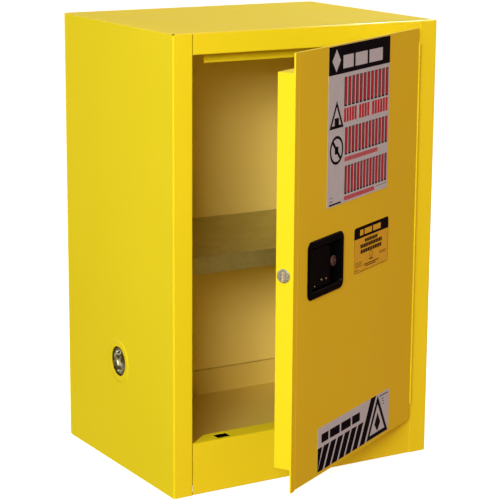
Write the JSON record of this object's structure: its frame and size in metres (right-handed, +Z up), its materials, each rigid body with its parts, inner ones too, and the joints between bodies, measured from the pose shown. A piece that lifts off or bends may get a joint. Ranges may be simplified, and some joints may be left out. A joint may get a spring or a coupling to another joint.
{
  "type": "flammable storage cabinet",
  "caption": "Compact double-walled steel safety cabinet with a hinged self-latching door, paddle handle, lift-out shelf, spill sump, plugged side vents and levelling feet.",
  "frame": {"origin": "on the floor under the middle of the cabinet's base, 4 mm below the bottom panel's underside", "axes": "+X to the right seen from the front, +Y from front to back, +Z up"},
  "size_m": [0.5972, 0.7104, 0.889],
  "materials": {
    "yellow_enamel": "smooth gloss powder coat",
    "galvanised_steel": "galvanised, dull with faint spangle",
    "zinc_plate": "zinc plated with a yellow passivate tint",
    "black_paint": "satin black powder coat",
    "lock_bronze": "worn satin",
    "black_rubber": "matte",
    "printed_label": null
  },
  "bodies": {
    "cabinet": {"outer_side_left": "yellow_enamel", "outer_side_right": "yellow_enamel", "outer_top": "yellow_enamel", "outer_back": "yellow_enamel", "front_apron": "yellow_enamel", "base_pan": "yellow_enamel", "inner_side_left": "yellow_enamel", "inner_side_right": "yellow_enamel", "inner_back": "yellow_enamel", "inner_top": "yellow_enamel", "sump_pan": "yellow_enamel", "vent_sleeve_left": "zinc_plate", "vent_sleeve_right": "zinc_plate", "flame_arrester_left": "galvanised_steel", "flame_arrester_right": "galvanised_steel", "ground_screw": "zinc_plate", "ground_nut": "zinc_plate", "hinge_frame_leaf": "yellow_enamel", "hinge_pin": "zinc_plate", "foot_bracket_front_left": "galvanised_steel", "foot_nut_front_left": "zinc_plate", "shelf_clip_front_left": "galvanised_steel", "foot_bracket_front_right": "galvanised_steel", "foot_nut_front_right": "zinc_plate", "shelf_clip_front_right": "galvanised_steel", "foot_bracket_back_left": "galvanised_steel", "foot_nut_back_left": "zinc_plate", "shelf_clip_back_left": "galvanised_steel", "foot_bracket_back_right": "galvanised_steel", "foot_nut_back_right": "zinc_plate", "shelf_clip_back_right": "galvanised_steel"},
    "door": {"door_skin": "yellow_enamel", "door_inner_pan": "yellow_enamel", "hinge_door_leaf": "yellow_enamel", "upper_label": "printed_label", "side_label": "printed_label", "lower_label": "printed_label", "handle_dish": "black_paint", "lock_body": "lock_bronze", "paddle_pin": "zinc_plate", "paddle_spring": "zinc_plate", "latch_collar": "zinc_plate", "upper_bush": "zinc_plate", "lower_bush": "zinc_plate"},
    "paddle": {"paddle": "black_paint"},
    "lock": {"lock_plug": "lock_bronze", "lock_cam": "zinc_plate"},
    "centre_bolt": {"centre_bolt": "zinc_plate", "latch_slide": "galvanised_steel"},
    "upper_bolt": {"upper_rod": "galvanised_steel", "upper_bolt": "zinc_plate"},
    "lower_bolt": {"lower_rod": "galvanised_steel", "lower_bolt": "zinc_plate"},
    "shelf": {"shelf": "galvanised_steel"},
    "vent_plug_left": {"vent_plug_left": "zinc_plate"},
    "vent_plug_right": {"vent_plug_right": "zinc_plate"},
    "foot_front_left": {"foot_front_left": "black_rubber"},
    "foot_front_right": {"foot_front_right": "black_rubber"},
    "foot_back_left": {"foot_back_left": "black_rubber"},
    "foot_back_right": {"foot_back_right": "black_rubber"}
  },
  "joints": [
    {"name": "door_swing", "type": "hinge", "parent": "cabinet", "child": "door", "pos_m": [0.2503, -0.2325, 0.476], "axis": [0, 0, 1], "range_deg": [-29.2, 150.8]},
    {"name": "paddle_pull", "type": "hinge", "parent": "door", "child": "paddle", "pos_m": [-0.13434, -0.44002, 0.476], "axis": [0, 0, -1], "range_deg": [0, 35], "stiffness_Nm_per_rad": 0.8},
    {"name": "lock_turn", "type": "hinge", "parent": "door", "child": "lock", "pos_m": [-0.06292, -0.39358, 0.478], "axis": [0.4879, -0.8729, 0], "range_deg": [0, 90]},
    {"name": "centre_bolt_slide", "type": "slide", "parent": "door", "child": "centre_bolt", "axis": [0.8729, 0.4879, 0], "range_m": [0, 0.0105]},
    {"name": "upper_bolt_slide", "type": "slide", "parent": "door", "child": "upper_bolt", "axis": [0, 0, -1], "range_m": [0, 0.014]},
    {"name": "lower_bolt_slide", "type": "slide", "parent": "door", "child": "lower_bolt", "axis": [0, 0, 1], "range_m": [0, 0.014]},
    {"name": "shelf_lift", "type": "slide", "parent": "cabinet", "child": "shelf", "axis": [0, 0, 1], "range_m": [0, 0.05]},
    {"name": "vent_plug_left_out", "type": "slide", "parent": "cabinet", "child": "vent_plug_left", "axis": [-1, 0, 0], "range_m": [0, 0.045]},
    {"name": "vent_plug_right_out", "type": "slide", "parent": "cabinet", "child": "vent_plug_right", "axis": [1, 0, 0], "range_m": [0, 0.045]},
    {"name": "foot_front_left_level", "type": "slide", "parent": "cabinet", "child": "foot_front_left", "axis": [0, 0, -1], "range_m": [0, 0.018]},
    {"name": "foot_front_right_level", "type": "slide", "parent": "cabinet", "child": "foot_front_right", "axis": [0, 0, -1], "range_m": [0, 0.018]},
    {"name": "foot_back_left_level", "type": "slide", "parent": "cabinet", "child": "foot_back_left", "axis": [0, 0, -1], "range_m": [0, 0.018]},
    {"name": "foot_back_right_level", "type": "slide", "parent": "cabinet", "child": "foot_back_right", "axis": [0, 0, -1], "range_m": [0, 0.018]}
  ],
  "couplings": [
    {"joint": "centre_bolt_slide", "follows": "paddle_pull", "m_per_rad": 0.017187},
    {"joint": "upper_bolt_slide", "follows": "paddle_pull", "m_per_rad": 0.022916},
    {"joint": "lower_bolt_slide", "follows": "paddle_pull", "m_per_rad": 0.022916}
  ]
}
